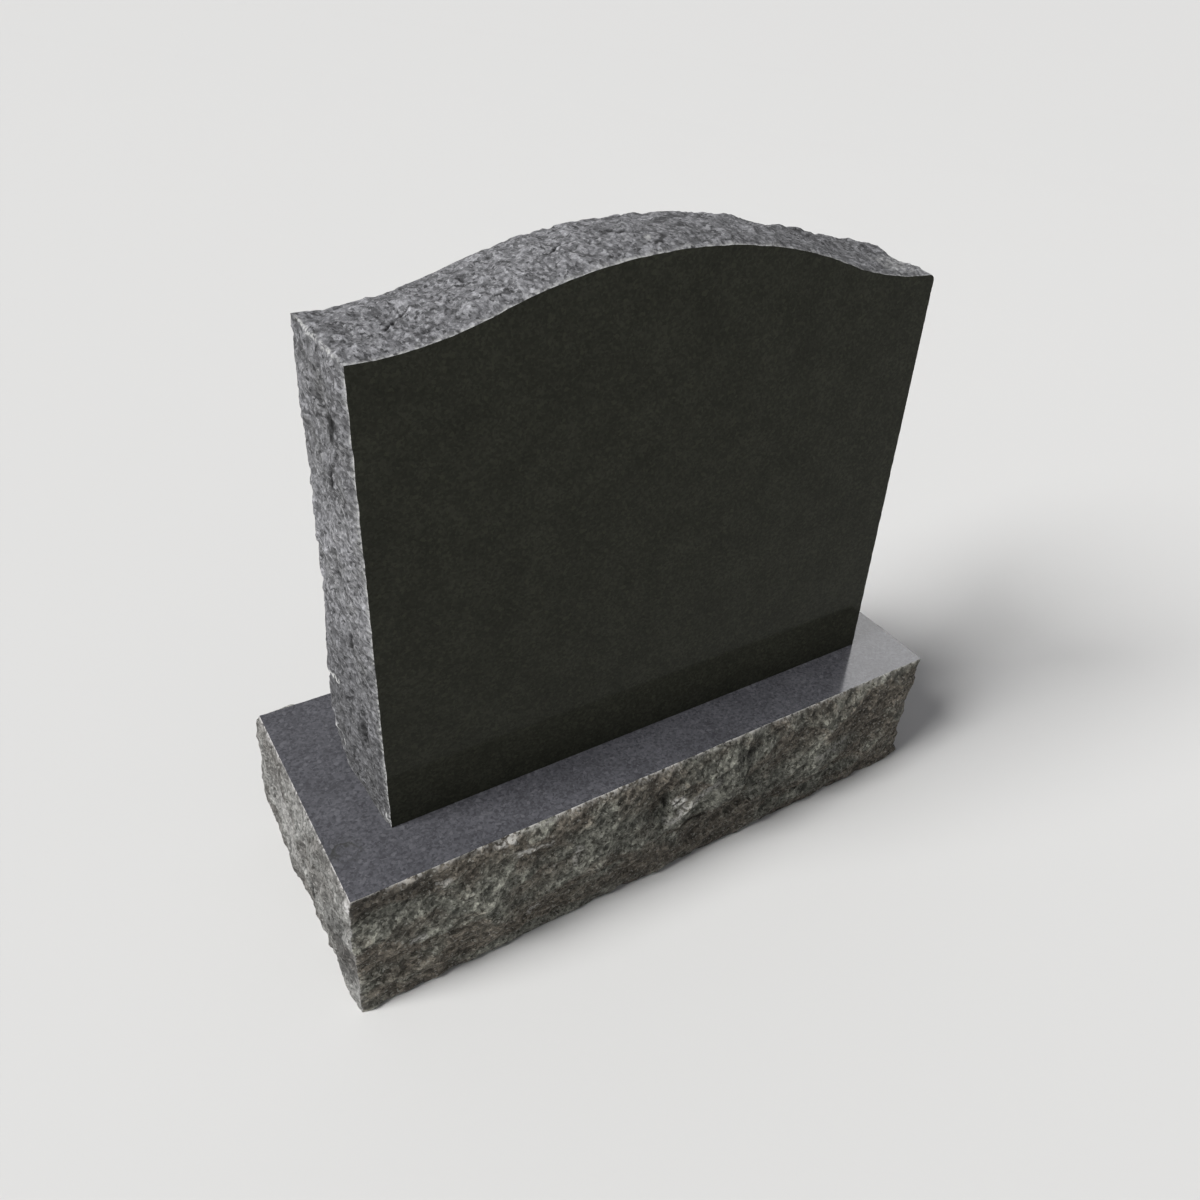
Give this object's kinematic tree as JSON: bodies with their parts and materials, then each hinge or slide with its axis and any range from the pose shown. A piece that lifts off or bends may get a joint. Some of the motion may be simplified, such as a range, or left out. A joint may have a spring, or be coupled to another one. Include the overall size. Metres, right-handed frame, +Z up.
{
  "type": "headstone",
  "caption": "Granite headstone: upright tablet with a serpentine top and polished front, on a rock-pitched base with a polished top.",
  "frame": {"origin": "middle of the base's underside, on the ground that the headstone stands on", "axes": "+Z up, the polished front faces -Y, +X is to the right of someone who faces the front"},
  "size_m": [0.9494, 0.4054, 0.8744],
  "materials": {
    "base_granite": "rock-pitched sides, polished top",
    "tablet_granite": "polished front, rock-pitched edges and back"
  },
  "bodies": {
    "root": {"base": "base_granite", "tablet": "tablet_granite"}
  },
  "joints": []
}
